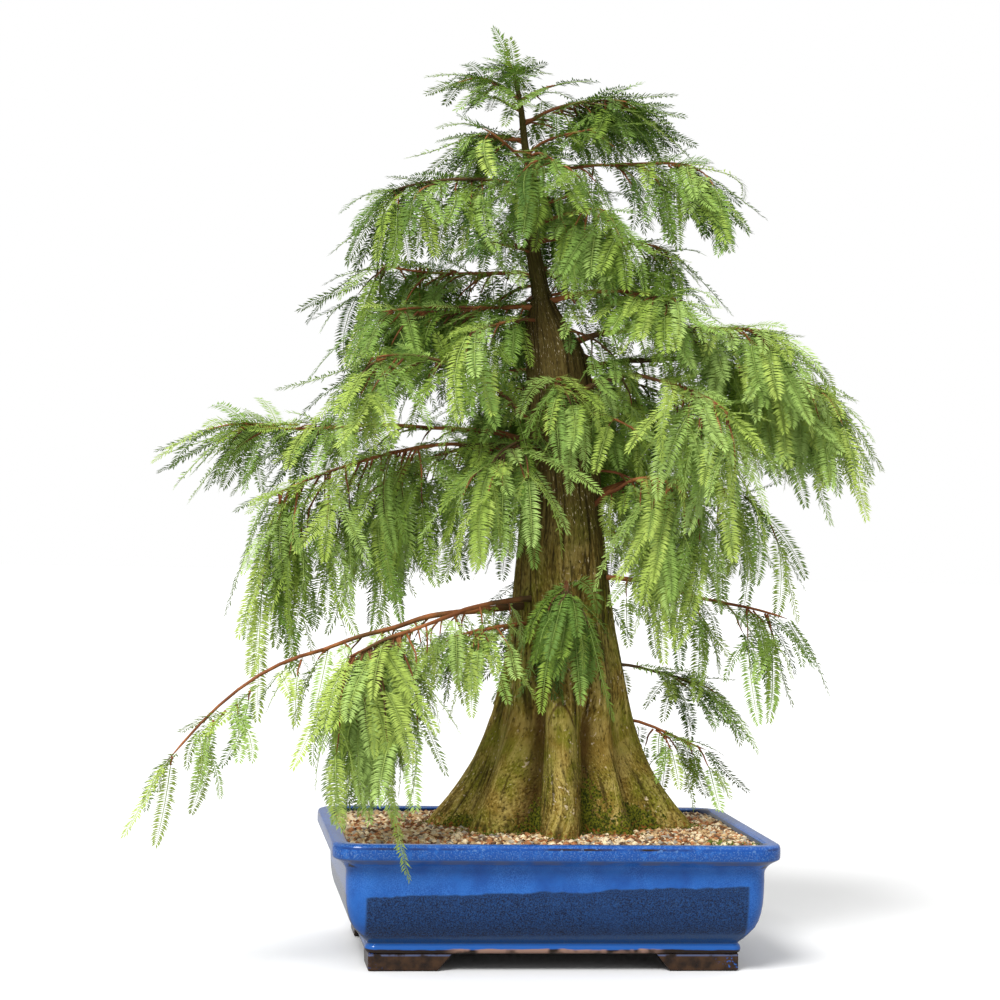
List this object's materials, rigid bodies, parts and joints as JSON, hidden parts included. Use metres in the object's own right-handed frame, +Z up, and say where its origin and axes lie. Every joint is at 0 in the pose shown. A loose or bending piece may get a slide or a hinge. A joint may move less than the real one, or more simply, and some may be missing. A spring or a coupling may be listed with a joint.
{
  "type": "bald cypress bonsai",
  "caption": "Bald cypress grown as a bonsai, with a flared trunk, weeping boughs and sprays of soft green needles, in a blue glazed rectangular pot filled with grit.",
  "frame": {"origin": "on the ground, under the middle of the whole plant's box; the pot stands 31 mm to the right of it and 18 mm in front of it", "axes": "+Z up, -Y towards the front of the pot, +X to the right seen from the front"},
  "size_m": [0.8059, 0.4667, 0.9795],
  "materials": {
    "pot_glaze": "gloss",
    "grit": "matte",
    "bark": "matte",
    "twig_bark": "matte",
    "needles": "matte"
  },
  "bodies": {
    "root": {"pot": "pot_glaze", "soil": "grit", "trunk": "bark", "bough_low_left": "twig_bark", "bough_low_left_inner": "twig_bark", "bough_low_left_front": "twig_bark", "bough_mid_left": "twig_bark", "bough_mid_left_weeping": "twig_bark", "bough_mid_left_back": "twig_bark", "bough_diagonal_left": "twig_bark", "bough_upper_left": "twig_bark", "bough_high_left": "twig_bark", "bough_top_left": "twig_bark", "bough_top_right": "twig_bark", "bough_upper_right": "twig_bark", "bough_right_arm": "twig_bark", "bough_right_outer": "twig_bark", "bough_right_front": "twig_bark", "bough_right_weeping": "twig_bark", "bough_right_skirt": "twig_bark", "bough_low_right": "twig_bark", "bough_back_low": "twig_bark", "bough_back_mid": "twig_bark", "foliage_low_left_tail": "needles", "foliage_low_left_curtain": "needles", "foliage_low_left_inner": "needles", "foliage_mid_left": "needles", "foliage_mid_left_weeping": "needles", "foliage_mid_left_back": "needles", "foliage_diagonal_left": "needles", "foliage_near_left": "needles", "foliage_upper_left": "needles", "foliage_upper_left_front": "needles", "foliage_high_left": "needles", "foliage_top_left": "needles", "foliage_crown_left_low": "needles", "foliage_crown_left": "needles", "foliage_apex": "needles", "foliage_crown_right": "needles", "foliage_top_right": "needles", "foliage_crown_front": "needles", "foliage_top_right_front": "needles", "foliage_high_right": "needles", "foliage_upper_right": "needles", "foliage_right_arm": "needles", "foliage_right_outer": "needles", "foliage_right_front": "needles", "foliage_right_weeping": "needles", "foliage_right_skirt": "needles", "foliage_low_right": "needles", "foliage_low_right_back": "needles", "foliage_lowest_right": "needles", "foliage_front_low": "needles", "foliage_front_mid": "needles", "foliage_back_low": "needles", "foliage_back_mid": "needles", "foliage_back_upper": "needles", "foliage_back_top": "needles", "foliage_right_near": "needles", "foliage_back_mid_left": "needles"}
  },
  "joints": []
}
